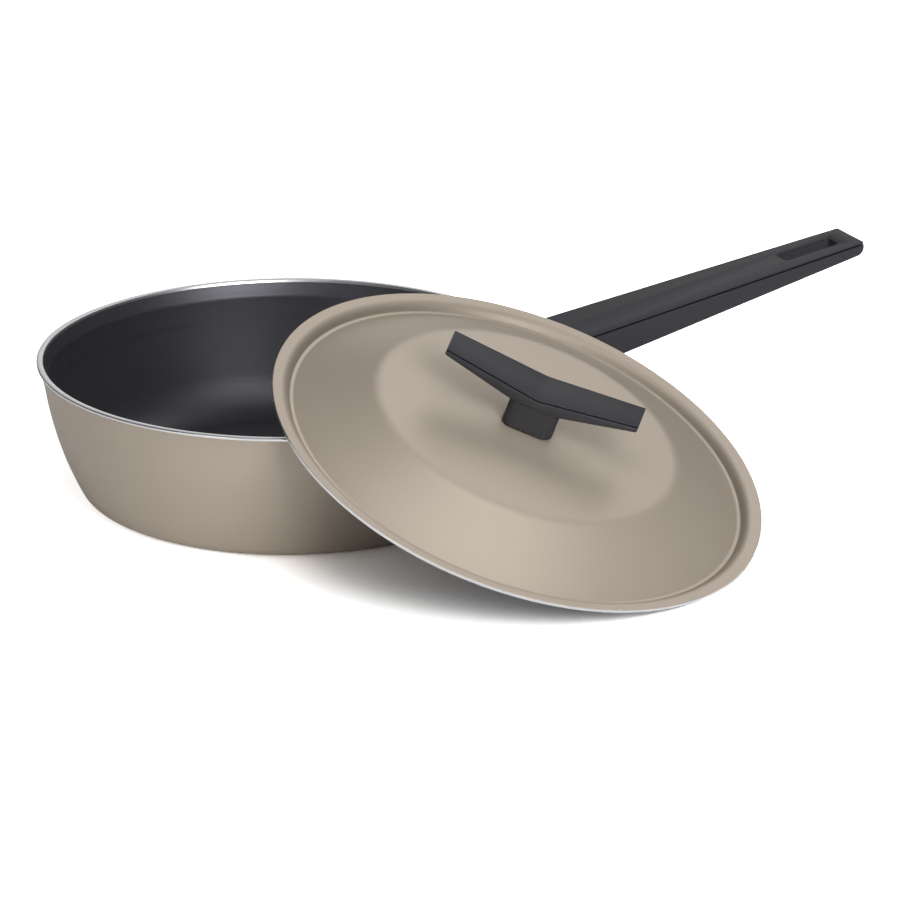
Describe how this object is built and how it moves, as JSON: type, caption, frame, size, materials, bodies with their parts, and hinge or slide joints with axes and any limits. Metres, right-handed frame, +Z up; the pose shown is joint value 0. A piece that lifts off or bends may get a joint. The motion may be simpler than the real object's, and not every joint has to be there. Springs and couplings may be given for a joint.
{
  "type": "frying pan with lid",
  "caption": "Deep round frying pan with a flared wall, a long flat moulded handle with a hang slot, and a domed lid with a bent bar knob that leans on the rim.",
  "frame": {"origin": "centre of the pan's underside, on the surface that it stands on", "axes": "+X out along the handle, +Z up; the lid leans on the rim on the -Y side"},
  "size_m": [0.4291, 0.3531, 0.1033],
  "materials": {
    "lacquered_aluminium": "satin beige lacquer outside, black non-stick inside, bare cut lip",
    "lid_aluminium": "satin beige lacquer, bare cut edge",
    "phenolic": "fine matt moulding",
    "steel": "bright",
    "brass": "turned",
    "silicone": "matt"
  },
  "bodies": {
    "pan": {"pan_body": "lacquered_aluminium", "base_disc": "steel", "handle_bracket": "steel", "rivet_left": "steel", "rivet_right": "steel", "handle_body": "phenolic", "handle_cover": "phenolic", "handle_screw": "steel"},
    "lid": {"lid_shell": "lid_aluminium", "knob_body": "phenolic", "knob_cover": "phenolic", "knob_insert": "brass", "knob_screw": "steel", "knob_washer": "steel", "knob_seal": "silicone"}
  },
  "joints": [
    {"name": "lid_lift", "type": "slide", "parent": "pan", "child": "lid", "axis": [0.1732, -0.3513, 0.9201], "range_m": [0, 0.12]}
  ]
}
